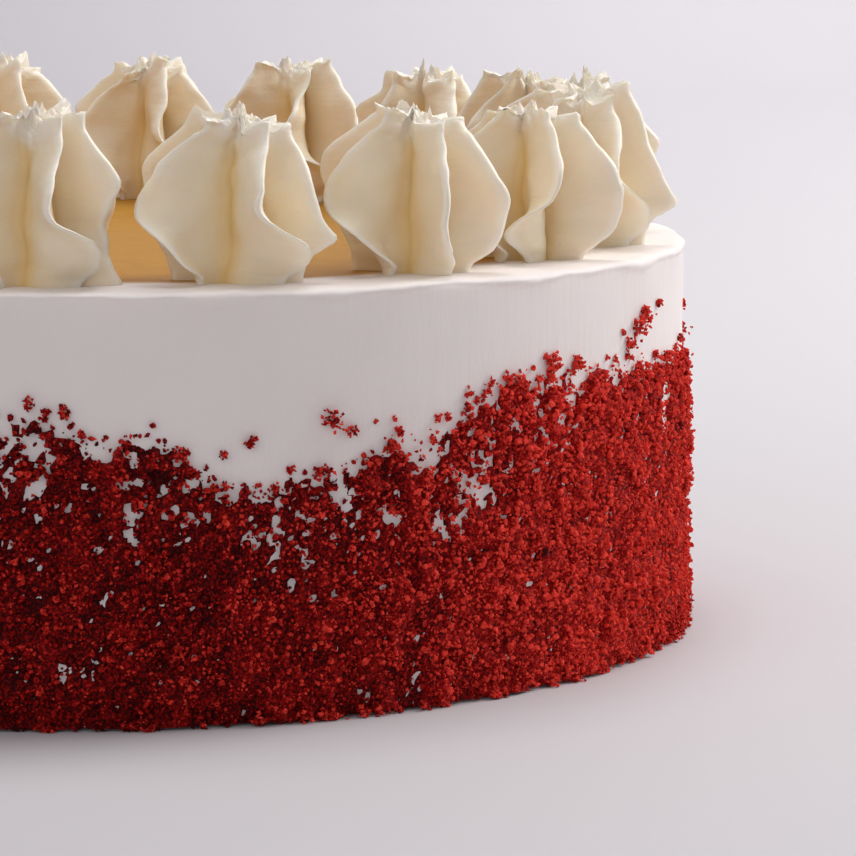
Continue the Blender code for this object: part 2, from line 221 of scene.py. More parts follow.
# At how many places round the cake the coat's edge is worked out.
LINE_STEPS = 1440
# How ragged that edge is: layers of noise, each (size, depth, seed).
RAGGED_LAYERS = ((0.009, 0.0008, 31), (0.0038, 0.0016, 32), (0.0016, 0.0016, 33))
# The gaps in the coat: layers of noise, each (size, strength, seed).
GAP_LAYERS = ((0.0023, 0.45, 41), (0.0012, 0.60, 42), (0.009, 0.25, 43))
# How strong noise has to be to open a gap: at the upper edge, and how much stronger further down: (how much,
# from how far below the edge, over what distance).
GAP_LIMIT = 0.45
GAP_LIMIT_BELOW = ((0.31, 0.0, 0.020), (0.24, 0.016, 0.012))
# Over what distance the coat ends at its upper edge, and over how much noise at a gap.
EDGE_SOFTNESS = 0.0012
GAP_SOFTNESS = 0.20
# Where the coat is thinnest and shows more of the frosting: (degrees from +X, height in mm, radius in mm).
THIN_PATCHES = (
    (-69, 34, 2.5), (-63.5, 29, 3), (-58.3, 29.5, 4), (-55.5, 34.5, 4.6), (-60.5, 39, 3),
    (-96, 37, 2), (-95.9, 43.5, 2), (-84.3, 33, 1.5), (-87.7, 29.5, 1.5), (-93.2, 34, 1.5),
    (-22, 40, 5), (10, 31, 6), (38, 30, 5), (71, 38, 6), (104, 30, 5),
    (142, 33, 6), (180, 36, 5), (214, 29, 6), (240, 37, 4),
)
# How much a patch lowers the limit, how much more for each mm of radius, and its reach in radii.
THIN_LESS = 0.36
THIN_LESS_BY_SIZE = 0.06
THIN_REACH = 1.4
# The coat's relief: how far it stands out, how much that varies, and the layers of noise, each (size,
# strength, seed), of its clumps and of its upright columns.
COAT_OUT = 0.001
COAT_VARIES = 0.0011
CLUMP_LAYERS = ((0.0046, 0.55, 51), (0.0021, 0.50, 52))
COLUMN_LAYERS = ((0.0042, 0.45, 53),)
COLUMN_SQUASH = (1, 1, 0.2)

# Crumbs' shapes: how many of each kind, how uneven, how far their corners stray and how much they stretch.
ROCK_COUNT = 24
ROCK_UNEVEN = 0.5
ROCK_STRAY = {"grain": 0.20, "lump": 0.14}
ROCK_STRETCH = (0.7, 1.2)
# The crumbs of the coat: how many, their radii, and how far off the coat's relief they sit.
FINE_PIECES = 2
FINE_CRUMBS = (18200, (0.0002, 0.00048), (-0.0003, 0.0004))
COARSE_CRUMBS = (9700, (0.00029, 0.00062), (-0.0002, 0.0005))
# They are drawn between these heights, this many for each one wanted and more of them small than big, and
# nothing is lower than this.
CRUMB_HEIGHTS = (0.0003, 0.062)
CRUMB_DRAWS = 3
CRUMB_SIZE_POWER = 1.8
LOWEST_CRUMB = 0.0001
# Over what distance below its edge the coat is thinner, and how thick it is at the edge.
EDGE_THINNING = 0.005
EDGE_THICKNESS = 0.4
# Crumbs' tones, from 0 to 1: the middle one, how much lighter for each metre that they stand out (painted
# shade in the coat's hollows), how much they differ in wide patches, in small ones and singly, and how dark
# and how high the painted shade at the foot is.
CRUMB_TONE = 0.47
RELIEF_SHADE_TONE = 200
TONE_PATCHES = 0.22
TONE_FLECKS = 0.16
TONE_SPREAD = 0.13
FOOT_PAINTED_SHADE = 0.35
FOOT_SHADE_TOP = 0.006
# Painted light: how much lighter the crumbs are round the side, lightest where the window light falls:
# (degrees from +X, tone).
WINDOW_SIDE_LIGHT = ((-180, 0), (-80, 0), (-62, 0.26), (-44, 0.64), (-12, 0.45), (40, 0.36), (110, 0.12), (180, 0))
# Where a few crumbs are dark: (degrees from +X, height in mm, radius in mm), and how dark, from 0 to 1.
DARK_SPOTS = (
    (-85.3, 38.5, 1.7), (-95.9, 45.7, 1.1), (-67.5, 41.8, 0.9), (-18.4, 35.4, 1.5), (-90.5, 33, 0.9),
    (-47, 22, 0.8), (12, 30, 1.5), (48, 20, 1), (85, 38, 1.4), (118, 27, 1),
    (160, 41, 1.3), (196, 30, 1), (228, 36, 1.4),
)
DARKEST = 0.95
# Clumps clear of the coat's edge: (degrees from +X, height in mm, radius in mm).
LOOSE_CLUMPS = (
    (-96.3, 50.1, 1.1), (-93.3, 48.5, 0.9), (-79.7, 41.8, 0.7), (-77.3, 43.6, 0.8), (-70, 46.5, 1.5),
    (-68.2, 44.5, 1.1), (-63.4, 43.9, 1), (-54.1, 48.9, 0.9), (-51.5, 50.6, 0.8), (-32.4, 52.8, 1.2),
    (-30.6, 55.2, 1.5), (-28.9, 57.2, 1.5), (-24.9, 58.3, 0.6), (-33.6, 55, 0.4), (-35.2, 51, 0.4),
    (-26, 50, 0.9), (-45.6, 51.8, 1.4), (-42, 52, 1.3), (-47.5, 49.8, 0.8), (-83, 42.5, 0.6),
)
# More of them, scattered: (how many, from and to how many degrees, mean and greatest distance above the edge,
# least and greatest radius in mm).
CLUMPS_ABOVE = ((90, -20, 255, 0.0026, 0.008, 0.4, 1.4), (26, -104, -20, 0.0018, 0.005, 0.3, 0.7))
# Clumps at the edge: (how many, how far above it, their radii in mm).
EDGE_CLUMPS = (120, (-0.0022, 0.0008), (0.6, 1.2))
# Clumps at the foot: (how many, their radii in mm, the height of their middles in radii).
FOOT_CLUMPS = (150, (0.5, 1.3), 0.6)
# A clump's grains: how many, how many more by the square of its radius in mm, how far they scatter in clump
# radii and along each axis, their radii in mm, and their mean tone and its spread.
CLUMP_GRAINS = 5
CLUMP_GRAINS_BY_SIZE = 22
CLUMP_SCATTER = 0.5
CLUMP_SHAPE = (0.9, 0.9, 1.0)
CLUMP_GRAIN_RADII = (0.22, 0.46)
CLUMP_TONES = (0.5, 0.2)
# How far out a clump's middle is, in clump radii of at most this size, and how much further at the foot.
CLUMP_OUT = 0.6
CLUMP_OUT_MOST = 0.0008
FOOT_CLUMP_OUT = 0.0009
CRUMB_SEED = 61

# The grainy bed under the crumbs: points round it, rows up it, between which heights, and how far behind the
# side it is hidden.
BED_AROUND = 1000
BED_ROWS = 84
BED_HEIGHTS = (0.0004, 0.056)
BED_HIDDEN = -0.0006
# How far it is under the crumbs' relief, the least that it stands out, and how grainy it is.
BED_SUNK = 0.0004
BED_LEAST = 0.00015
BED_GRAIN = 0.0003
# How torn the borders of its gaps are, its middle tone, dark both as deeper crumbs and as painted shade
# between the crumbs, and how much lighter it is for each metre outward, painted shade in its hollows.
BED_TORN = 0.16
BED_TONE = 0.22
BED_TONE_BY_RELIEF = 160

# Colours.
FROSTING_WHITES = ((0.837, 0.779, 0.757), (0.872, 0.816, 0.794))
# Painted golden shade for the middle of the frosting's top.
FROSTING_SHADE_GOLDS = ((0.405, 0.182, 0.013), (0.45, 0.213, 0.018))
CREAM_IVORIES = ((0.87, 0.745, 0.535), (0.90, 0.80, 0.60))
# A painted highlight for the cream's rims, crown and outer flanks.
CREAM_HIGHLIGHT = (0.93, 0.88, 0.79)
# Painted golden shade for the cream's grooves and feet.
CREAM_SHADE_GOLD = (0.82, 0.55, 0.19)
CREAM_SPECK = (0.60, 0.48, 0.34)
CRUMB_REDS = ((0.045, 0.001, 0.002), (0.40, 0.0035, 0.003), (0.94, 0.062, 0.040))
# The stage's painted light: shaded on the left, lit on the right, and lit paler far off.
STAGE_SHADED_LEFT_LIT_RIGHT = ((0.545, 0.527, 0.549), (0.635, 0.618, 0.635))
STAGE_FAR_LIT = (0.92, 0.90, 0.92)
BLACK_WHITE = ((0, 0, 0), (1, 1, 1))

# The lights: (name, place, target, size, power in watts, colour).
CAKE_MIDDLE = (0, 0, 0.06)
LIGHTS = (
    ("window", (1.15, 0.35, 0.85), CAKE_MIDDLE, 0.8, 13.5, (1.0, 0.985, 0.97)),
    ("fill", (-0.9, -1.3, 0.9), CAKE_MIDDLE, 1.2, 4.0, (1.0, 0.98, 0.97)),
    ("backdrop", (0.8, 1.5, 1.5), (0.8, 2.6, 0.4), 1.4, 19.0, (0.98, 0.97, 1.0)),
    ("overhead", (0.15, 0.25, 1.3), CAKE_MIDDLE, 0.7, 5.5, (1.0, 0.99, 0.98)),
)
WORLD_COLOR = (0.90, 0.87, 0.90)
WORLD_STRENGTH = 0.45

# The stage: a floor that bends up into a wall.
STAGE_HALF_WIDTH = 9.0
STAGE_BEND_START = 1.65
STAGE_BEND_RADIUS = 0.4
STAGE_BEND_STEPS = 16
STAGE_WALL_TOP = 3.0
# How fast its painted light goes from the shaded left to the lit right for each metre, and how far along it
# is at the middle.
STAGE_SHADE_SLOPE = 2.2
STAGE_SHADE_MIDDLE = 0.3
# How far from the cake the painted light that makes it paler begins, and how fast it grows for each metre.
STAGE_PALER_FROM = 2.4
STAGE_PALER_SLOPE = 0.5

# Noise is made in a turned frame, so that none of its cells lie along the cake.
NOISE_TURN = np.array(Euler((0.62, 0.41, 0.83)).to_matrix())
NOISE_GAIN = 2.2
# How whole numbers are mixed into random ones.
CELL_STEPS = (374761393, 668265263, 2147483647)
SEED_STEP = 1274126177
HASH_MIXES = ((13, 1103515245), (11, 668265263))
HASH_BITS = 0x7FFFFFFF
HASH_LEVELS = 65536


# ---- shared helpers ----


def smooth_through(points, x):
    """The value at x on a smooth curve through (x, value) pairs."""
    last = len(points) - 1
    i = next((n for n in range(last) if x <= points[n + 1][0]), last - 1)

    def slope(n):
        low, high = points[max(n - 1, 0)], points[min(n + 1, last)]
        return (high[1] - low[1]) / (high[0] - low[0])

    (x0, y0), (x1, y1) = points[i], points[i + 1]
    width = x1 - x0
    t = min(max((x - x0) / width, 0.0), 1.0)
    rise = y0 * (1 + 2 * t) * (1 - t) ** 2 + y1 * t * t * (3 - 2 * t)
    return rise + width * (slope(i) * t * (1 - t) ** 2 + slope(i + 1) * t * t * (t - 1))


def ease(x):
    """Smoothstep of an array."""
    x = np.clip(x, 0.0, 1.0)
    return x * x * (3 - 2 * x)


def hash_noise(cells, seed):
    """A number from 0 to 1 for each row of whole numbers."""
    cells = cells.astype(np.int64)
    mixed = seed * SEED_STEP
    for axis, step in enumerate(CELL_STEPS):
        mixed = mixed + cells[..., axis] * step
    for shift, factor in HASH_MIXES:
        mixed = (mixed ^ (mixed >> shift)) * factor & HASH_BITS
    return (mixed ^ (mixed >> 15)) % HASH_LEVELS / (HASH_LEVELS - 1)


def noise(points, size, seed):
    """Smooth noise from -1 to 1 at points, with features of about this size."""
    scaled = np.asarray(points, float) @ NOISE_TURN / size
    cell = np.floor(scaled)
    part = scaled - cell
    blend = part**3 * (part * (part * 6 - 15) + 10)
    total = np.zeros(scaled.shape[:-1])
    for corner in np.ndindex(2, 2, 2):
        weight = np.prod(np.where(corner, blend, 1 - blend), axis=-1)
        slope = np.stack([hash_noise(cell + corner, 3 * seed + n) for n in range(3)], axis=-1) * 2 - 1
        total += weight * (slope * (part - corner)).sum(axis=-1)
    return np.clip(total * NOISE_GAIN, -1, 1)


def rough(points, size, seed, octaves=3):
    """Noise with finer noise added."""
    total = sum(noise(points, size / 2**n, seed + n) / 2**n for n in range(octaves))
    return total / sum(1 / 2**n for n in range(octaves))


def layered(points, layers):
    """The sum of layers of noise, each (size, strength, seed)."""
    return sum(strength * noise(points, size, seed) for size, strength, seed in layers)


def noise_along_axes(points, size, seed):
    """Noise of its own along each of the three axes."""
    return np.stack([noise(points, size, seed + axis) for axis in range(3)], axis=-1)


def heading(angles):
    """Level unit vectors at angles."""
    return np.stack([np.cos(angles), np.sin(angles), np.zeros_like(angles)], axis=-1)


def ring_faces(rings, around):
    """The faces between rings of points, each ring closed."""
    index_of = np.arange(rings * around).reshape(rings, around)
    low, high = index_of[:-1], index_of[1:]
    return np.stack([low, np.roll(low, -1, 1), np.roll(high, -1, 1), high], axis=-1).reshape(-1, 4)


def add_mesh(name, verts, faces, material, smooth=True):
    """A mesh object from arrays of points and of faces with one number of corners."""
    mesh = bpy.data.meshes.new(name)
    verts = np.asarray(verts, np.float32)
    faces = np.asarray(faces, np.int32)
    corners = faces.shape[1]
    mesh.vertices.add(len(verts))
    mesh.vertices.foreach_set("co", verts.ravel())
    mesh.loops.add(faces.size)
    mesh.loops.foreach_set("vertex_index", faces.ravel())
    mesh.polygons.add(len(faces))
    mesh.polygons.foreach_set("loop_start", np.arange(len(faces), dtype=np.int32) * corners)
    mesh.polygons.foreach_set("use_smooth", np.broadcast_to(smooth, len(faces)).copy())
    mesh.update(calc_edges=True)
    mesh.validate()
    mesh.materials.append(material)
    made = bpy.data.objects.new(name, mesh)
    bpy.context.scene.collection.objects.link(made)
    return made


def add_attribute(piece, name, values):
    attribute = piece.data.attributes.new(name, "FLOAT", "POINT")
    attribute.data.foreach_set("value", np.asarray(values, np.float32))


# ---- materials ----


class Shader:
    """A Principled material whose nodes are added by short calls."""

    def __init__(self, name):
        self.material = bpy.data.materials.new(name)
        self.material.use_nodes = True
        self.tree = self.material.node_tree
        self.principled = self.tree.nodes["Principled BSDF"]
        self.place = self.node("ShaderNodeTexCoord").outputs["Object"]

    def node(self, kind, **settings):
        made = self.tree.nodes.new(kind)
        for key, value in settings.items():
            setattr(made, key, value)
        return made

    def set(self, **values):
        for key, value in values.items():
            self.principled.inputs[key.replace("_", " ")].default_value = value

    def link(self, source, target):
        self.tree.links.new(source, target)

    def noise(self, size, detail, stretch=(1, 1, 1), roughness=0.55):
        """Noise from 0 to 1 with features of about this size in metres."""
        mapping = self.node("ShaderNodeMapping")
        mapping.inputs["Scale"].default_value = [s / size for s in stretch]
        self.link(self.place, mapping.inputs["Vector"])
        made = self.node("ShaderNodeTexNoise")
        made.inputs["Scale"].default_value = 1.0
        made.inputs["Detail"].default_value = detail
        made.inputs["Roughness"].default_value = roughness
        self.link(mapping.outputs["Vector"], made.inputs["Vector"])
        return made.outputs["Fac"]

    def attribute(self, name):
        return self.node("ShaderNodeAttribute", attribute_name=name).outputs["Fac"]

    def ramp(self, value, stops):
        """The colour for a value, between stops that are each (value, colour)."""
        made = self.node("ShaderNodeValToRGB")
        elements = made.color_ramp.elements
        while len(elements) < len(stops):
            elements.new(0.5)
        for element, (at, color) in zip(elements, stops):
            element.position = at
            element.color = (*color, 1.0)
        self.link(value, made.inputs["Fac"])
        return made.outputs["Color"]

    def between(self, value, colors, start=0.3, end=0.7):
        """From the first colour to the second as the value goes from start to end."""
        return self.ramp(value, ((start, colors[0]), (end, colors[1])))

    def mix(self, first, second, factor):
        """From the first colour to the second as the factor goes from 0 to 1."""
        made = self.node("ShaderNodeMix", data_type="RGBA")
        for name, value in (("A", first), ("B", second)):
            socket = next(s for s in made.inputs if s.name == name and s.type == "RGBA")
            if isinstance(value, tuple):
                socket.default_value = (*value, 1.0)
            else:
                self.link(value, socket)
        self.link(factor, made.inputs["Factor"])
        return next(s for s in made.outputs if s.type == "RGBA")

    def math(self, operation, first, second, clamp=False):
        made = self.node("ShaderNodeMath", operation=operation, use_clamp=clamp)
        for socket, value in zip(made.inputs, (first, second)):
            if isinstance(value, (int, float)):
                socket.default_value = value
            else:
                self.link(value, socket)
        return made.outputs["Value"]

    def bumps(self, *layers):
        """Bumps on the surface, each (height, depth in metres, strength) and on top of the last."""
        target = self.principled.inputs["Normal"]
        for height, depth, strength in reversed(layers):
            made = self.node("ShaderNodeBump")
            made.inputs["Distance"].default_value = depth
            made.inputs["Strength"].default_value = strength
            self.link(height, made.inputs["Height"])
            self.link(made.outputs["Normal"], target)
            target = made.inputs["Normal"]

    def color(self, output):
        self.link(output, self.principled.inputs["Base Color"])


def frosting_material():
    """White whipped frosting, smoothed with a scraper: faint upright streaks, a fine grain and a painted
    golden shade.
    """
    shader = Shader("frosting_white")
    white = shader.between(shader.noise(0.03, detail=2), FROSTING_WHITES)
    # Painted shade: golden where the shaded attribute is set.
    gold = shader.between(shader.noise(0.008, detail=4), FROSTING_SHADE_GOLDS)
    shader.color(shader.mix(white, gold, shader.attribute("shaded")))
    streaks = shader.noise(0.0016, detail=4, stretch=(1, 1, 0.12))
    grain = shader.noise(0.0006, detail=3)
    shader.bumps((streaks, 0.00018, 0.5), (grain, 0.00006, 0.5))
    shader.set(Roughness=0.55, Specular_IOR_Level=0.22)
    shader.set(Subsurface_Weight=0.25, Subsurface_Scale=0.003, Subsurface_Radius=(1.0, 0.8, 0.65))
    return shader.material


def cream_material():
    """Ivory piped cream: painted golden shade deep in its grooves, faintly banded by the nozzle, translucent
    where thin.
    """
    shader = Shader("cream_ivory")
    ivory = shader.between(shader.noise(0.012, detail=2), CREAM_IVORIES)
    # The edge attribute carries a painted highlight: paler on rims, crown and flanks.
    highlighted = shader.mix(ivory, CREAM_HIGHLIGHT, shader.attribute("edge"))
    # The hollow attribute carries painted shade: golden deep in the grooves.
    hollow = shader.math("MULTIPLY", shader.attribute("hollow"), 0.95, clamp=True)
    golden = shader.mix(highlighted, CREAM_SHADE_GOLD, hollow)
    specks = shader.between(shader.noise(0.0016, detail=1), BLACK_WHITE, 0.80, 0.84)
    shader.color(shader.mix(golden, CREAM_SPECK, shader.math("MULTIPLY", specks, 0.5)))
    bands = shader.noise(0.0022, detail=3, stretch=(0.35, 0.35, 2.2))
    pits = shader.noise(0.0005, detail=3)
    shader.bumps((bands, 0.00026, 0.5), (pits, 0.00008, 0.5))
    shader.set(Roughness=0.45)
    shader.set(Subsurface_Weight=0.30, Subsurface_Scale=0.0016, Subsurface_Radius=(1.0, 0.60, 0.24))
    return shader.material


def crumb_material():
    """Moist red sponge crumb: each crumb has its own tone, and each is grainy."""
    dark, middle, bright = CRUMB_REDS
    shader = Shader("crumb_red")
    grain = shader.math("SUBTRACT", shader.noise(0.0005, detail=3, roughness=0.65), 0.5)
    tone = shader.math("ADD", shader.attribute("tone"), shader.math("MULTIPLY", grain, 2.0), clamp=True)
    shader.color(shader.ramp(tone, ((0.10, dark), (0.5, middle), (0.9, bright))))
    pits = shader.noise(0.00035, detail=3, roughness=0.7)
    lumps = shader.noise(0.0009, detail=2)
    shader.bumps((lumps, 0.0004, 0.7), (pits, 0.0004, 0.9))
    shader.set(Roughness=0.7, Specular_IOR_Level=0.12)
    shader.set(Subsurface_Weight=0.15, Subsurface_Scale=0.0008, Subsurface_Radius=(1.0, 0.15, 0.1))
    return shader.material


# ---- the camera, the light and the stage ----


def add_camera():
    data = bpy.data.cameras.new("camera")
    data.lens = CAMERA_LENS
    data.sensor_width = CAMERA_SENSOR
    data.clip_start, data.clip_end = CAMERA_CLIP
    camera = bpy.data.objects.new("camera", data)
    camera.location = CAMERA_PLACE
    camera.rotation_euler = (math.radians(90 - CAMERA_DOWN), 0, -math.radians(CAMERA_RIGHT))
    bpy.context.scene.collection.objects.link(camera)
    bpy.context.scene.camera = camera


def add_area_light(name, place, target, size, power, color):
    data = bpy.data.lights.new(name, "AREA")
    data.shape = "DISK"
    data.size = size
    data.energy = power
    data.color = color
    light = bpy.data.objects.new(name, data)
    light.location = place
    light.rotation_euler = (Vector(target) - Vector(place)).to_track_quat("-Z", "Y").to_euler()
    bpy.context.scene.collection.objects.link(light)


def add_lights():
    """A big window light from the right, weak ones from the left and above, and one on the wall."""
    for light in LIGHTS:
        add_area_light(*light)
    world = bpy.data.worlds.new("studio")
    world.use_nodes = True
    background = world.node_tree.nodes["Background"]
    background.inputs["Color"].default_value = (*WORLD_COLOR, 1)
    background.inputs["Strength"].default_value = WORLD_STRENGTH
    bpy.context.scene.world = world
    bpy.context.scene.view_settings.view_transform = "Standard"


def stage_material():
    """Pale paper with painted light: a little darker on the left, where the window light falls off, and paler
    far from the cake.
    """
    shader = Shader("studio_paper")
    split = shader.node("ShaderNodeSeparateXYZ")
    shader.link(shader.place, split.inputs["Vector"])
    slope = shader.math("MULTIPLY", split.outputs["X"], STAGE_SHADE_SLOPE)
    across = shader.math("ADD", slope, STAGE_SHADE_MIDDLE, clamp=True)
    near = shader.between(across, STAGE_SHADED_LEFT_LIT_RIGHT, 0.0, 1.0)
    reach = shader.node("ShaderNodeVectorMath", operation="LENGTH")
    shader.link(shader.place, reach.inputs[0])
    beyond = shader.math("SUBTRACT", reach.outputs["Value"], STAGE_PALER_FROM)
    far = shader.math("MULTIPLY", beyond, STAGE_PALER_SLOPE, clamp=True)
    shader.color(shader.mix(near, STAGE_FAR_LIT, far))
    shader.set(Roughness=0.7)
    return shader.material


def add_stage():
    """A pale floor that curves up into a wall behind."""
    outline = [(-STAGE_HALF_WIDTH, 0.0), (STAGE_BEND_START, 0.0)]
    for step in range(1, STAGE_BEND_STEPS + 1):
        turn = math.radians(90 * step / STAGE_BEND_STEPS)
        back = STAGE_BEND_START + STAGE_BEND_RADIUS * math.sin(turn)
        outline.append((back, STAGE_BEND_RADIUS * (1 - math.cos(turn))))
    outline.append((STAGE_BEND_START + STAGE_BEND_RADIUS, STAGE_WALL_TOP))
    verts = [(x, y, z) for y, z in outline for x in (-STAGE_HALF_WIDTH, STAGE_HALF_WIDTH)]
    faces = [(2 * n, 2 * n + 1, 2 * n + 3, 2 * n + 2) for n in range(len(outline) - 1)]
    floor = add_mesh("studio_floor", verts, faces, stage_material())


# ---- the piped swirls ----


def swirl_draws(index):
    """What makes one swirl differ from the next: the same draws as in the part."""
    draw = random.Random(SWIRL_SEED + index)
    front, kinds = SWIRLS[index]
    place = SWIRL_START + SWIRL_SHIFTS.get(index, 0) + index * 360 / SWIRL_COUNT
    height = SWIRL_HEIGHT * SWIRL_GROWTH.get(index, 1)
    return {
        "bearing": math.radians(place),
        "height": height * draw.uniform(1 - UNEVEN_HEIGHT, 1 + UNEVEN_HEIGHT),
        "lean": np.array((draw.uniform(-LEAN, LEAN), draw.uniform(-LEAN, LEAN), 0)),
        "kinds": [FIN_KINDS[letter] for letter in kinds],
        "reach": [draw.uniform(*UNEVEN_REACH) for _ in range(FIN_COUNT)],
        "turn": [
            math.radians(front + angle + draw.uniform(-UNEVEN_TURN, UNEVEN_TURN)) for angle in FIN_ANGLES
        ],
        "tip": [draw.uniform(*UNEVEN_TIP) for _ in range(FIN_COUNT)],
        "sweep": [draw.uniform(*UNEVEN_SWEEP) for _ in range(FIN_COUNT)],
    }


def along(profile, shares):
    """A profile's values at shares of the height."""
    return np.array([smooth_through(profile, share) for share in shares])


def swirl_reaches(swirls):
    """Each fin's reach at LIMIT_SHARES, drawn in wherever it would meet a fin of the next swirl."""
    rims, leans = (
        np.array([[along(kind[half], LIMIT_SHARES) for kind in swirl["kinds"]] for swirl in swirls])
        for half in (0, 1)
    )
    reach = rims * np.array([swirl["reach"] for swirl in swirls])[..., None]
    sweep = np.radians(leans) * np.array([swirl["sweep"] for swirl in swirls])[..., None]
    groove = along(GROOVE_PROFILE, LIMIT_SHARES)[:, None]
    turn = np.array([s["turn"] for s in swirls])[..., None]
    center = heading(np.array([s["bearing"] for s in swirls]))[:, None] * SWIRL_RING_RADIUS
    center = center + np.array([s["lean"] for s in swirls])[:, None] * LIMIT_SHARES[:, None]
    directions = heading(turn[..., None] + sweep[..., None] * BLADE_STEPS**SWEEP_POWER)
    halves = np.tile(RIM_HALF + (ROOT_HALF[1] - RIM_HALF) * (1 - BLADE_STEPS) ** TAPER, FIN_COUNT)
    room = halves[:, None] + halves[None] + FIN_GAP
    steps = np.tile(np.arange(len(BLADE_STEPS)), FIN_COUNT)
    for _ in range(LIMIT_ROUNDS):
        far = groove + (reach[..., None] - groove) * BLADE_STEPS
        points = center[:, None, :, None] + far[..., None] * directions
        here = np.moveaxis(points, 2, 1).reshape(len(swirls), len(LIMIT_SHARES), -1, 3)
        after = np.roll(here, -1, axis=0)
        close = np.linalg.norm(here[:, :, :, None] - after[:, :, None], axis=-1) < room
        if not close.any():
            break
        own = (close & (steps[:, None] >= steps[None] - 1)).any(axis=3)
        other = (close & (steps[None] >= steps[:, None] - 1)).any(axis=2)
        for met, way in ((own, 0), (other, 1)):
            met = met.reshape(len(swirls), len(LIMIT_SHARES), FIN_COUNT, -1).any(axis=3)
            reach -= LIMIT_STEP * np.moveaxis(np.roll(met, way, axis=0), 1, 2)
    padded = np.pad(reach, ((0, 0), (0, 0), (1, 1)), mode="edge")
    lowest = np.minimum(np.minimum(padded[..., :-2], padded[..., 2:]), reach)
    padded = np.pad(lowest, ((0, 0), (0, 0), (1, 1)), mode="edge")
    return np.minimum((padded[..., :-2] + 2 * padded[..., 1:-1] + padded[..., 2:]) / 4, reach)


def swirl_shares():
    """The shares of the height of a swirl's levels: closer together at the foot and the crown."""
    steps = np.linspace(0, 1, SWIRL_LEVELS)
    return steps - LEVEL_SQUEEZE * np.sin(2 * np.pi * steps)


def swirl_points(swirl, reaches, shares):
    """A swirl's points, one row for each share of the height, and how deep each lies in a groove."""
    top = ease(shares * 2 - 1)[:, None]
    foot = 1 - ease((shares - THICK_FULL) / (THICK_TOP - THICK_FULL))[:, None]
    root = ROOT_HALF[0] + (ROOT_HALF[1] - ROOT_HALF[0]) * foot
    groove = along(GROOVE_PROFILE, shares)[:, None]
    fine_shares = np.linspace(0, 1, 101)
    outs = (np.arange(FIN_STEPS) + 1) / FIN_STEPS
    columns, depths = [], []
    for fin in range(FIN_COUNT):
        turn = swirl["turn"][fin]
        lean = np.radians(along(swirl["kinds"][fin][1], fine_shares)) * swirl["sweep"][fin]
        rim = np.interp(shares, LIMIT_SHARES, reaches[fin])[:, None] - RIM_HALF
        for side in (-1, 1):
            out = (outs if side < 0 else outs[::-1])[None]
            sweep = np.interp(shares[:, None] - CURL_LAG * (1 - out), fine_shares, lean)
            direction = turn + sweep * out**SWEEP_POWER
            reach = groove + (rim - groove) * out
            half = np.minimum(RIM_HALF + (root - RIM_HALF) * (1 - out) ** TAPER, CORE_ROOM * reach)
            points = heading(direction) * reach[..., None]
            points += heading(direction + math.pi / 2) * (half * side)[..., None]
            points[..., 2] = (swirl["tip"][fin] - CROWN_DIP * (1 - out)) * top
            columns.append(points)
            depths.append(np.broadcast_to(1 - out, half.shape))
            if side < 0:
                tip = heading(turn + sweep[:, -1:]) * (rim + RIM_HALF)[..., None]
                tip[..., 2] = swirl["tip"][fin] * top
                columns.append(tip)
                depths.append(np.zeros_like(rim))
        gap = (swirl["turn"][(fin + 1) % FIN_COUNT] - turn) % (2 * math.pi)
        valley = heading(np.full_like(groove, turn + gap / 2)) * groove[..., None]
        valley[..., 2] = -CROWN_DIP * top
        columns.append(valley)
        depths.append(np.ones_like(groove))
    points = np.concatenate(columns, axis=1)
    points += swirl["lean"] * shares[:, None, None]
    points[..., 2] += (swirl["height"] * shares)[:, None]
    return points, np.concatenate(depths, axis=1)


def torn_crown(points, shares, seed):
    """Roughens the top, where the cream tore off the nozzle."""
    torn = ease((shares - TORN_FROM) / TORN_OVER)[:, None]
    shake = noise_along_axes(points, 0.0036, seed)
    spikes = np.maximum(rough(points, 0.0026, seed + 9, 2) + TORN_DIPS, 0)
    points += shake * torn[..., None] * np.array(TORN_SHAKE)
    points[..., 2] += (spikes - TORN_DIPS) * torn * TORN_SPIKES
    return points


def torn_cap(rim, middle, seed):
    """The rough torn cream inside the top section's outline: points, ring by ring, and faces."""
    share = (np.arange(CROWN_RINGS)[::-1, None, None] + 0.02) / CROWN_RINGS
    points = middle + (rim - middle) * share
    far = np.linalg.norm((points - middle)[..., :2], axis=-1)
    heap = ease(1.3 - far / HEAP_RADIUS)
    ridges = 1 - np.abs(noise(points, 0.0021, seed))
    spikes = np.maximum(noise(points, 0.0013, seed + 1), 0)
    inside = ease((1 - share[..., 0]) * 3)
    points[..., 2] += heap * (HEAP_HEIGHT + HEAP_SPIKES * spikes + HEAP_RIDGES * (ridges**3 - 0.4))
    points[..., 2] += inside * (CROWN_SPIKES * spikes + CROWN_GRAIN * rough(points, 0.0008, seed + 2, 2))
    return points.reshape(-1, 3), ring_faces(CROWN_RINGS + 1, rim.shape[0])


def cream_tints(depths, shares):
    """Painted golden shade in a swirl's grooves and at its foot, and painted highlight on its rims, flanks
    and crown.
    """
    levels = shares[:, None]
    # Painted shade: golden deep in the grooves, and at the foot where the swirls shade each other.
    golden = depths**6 * (1 - 0.7 * ease((levels - 0.8) / 0.2))
    golden = np.maximum(golden, 0.55 * depths**2 * (1 - ease(levels / 0.16)))
    # Painted highlight: paler on the rims, near the crown and on the outer flanks.
    pale = np.maximum(ease((0.10 - depths) / 0.1) * RIM_HIGHLIGHT, RIM_HIGHLIGHT * ease((levels - 0.90) / 0.1))
    pale = np.maximum(pale, FLANK_HIGHLIGHT * ease((0.60 - depths) / 0.5))
    return golden.ravel(), pale.ravel()


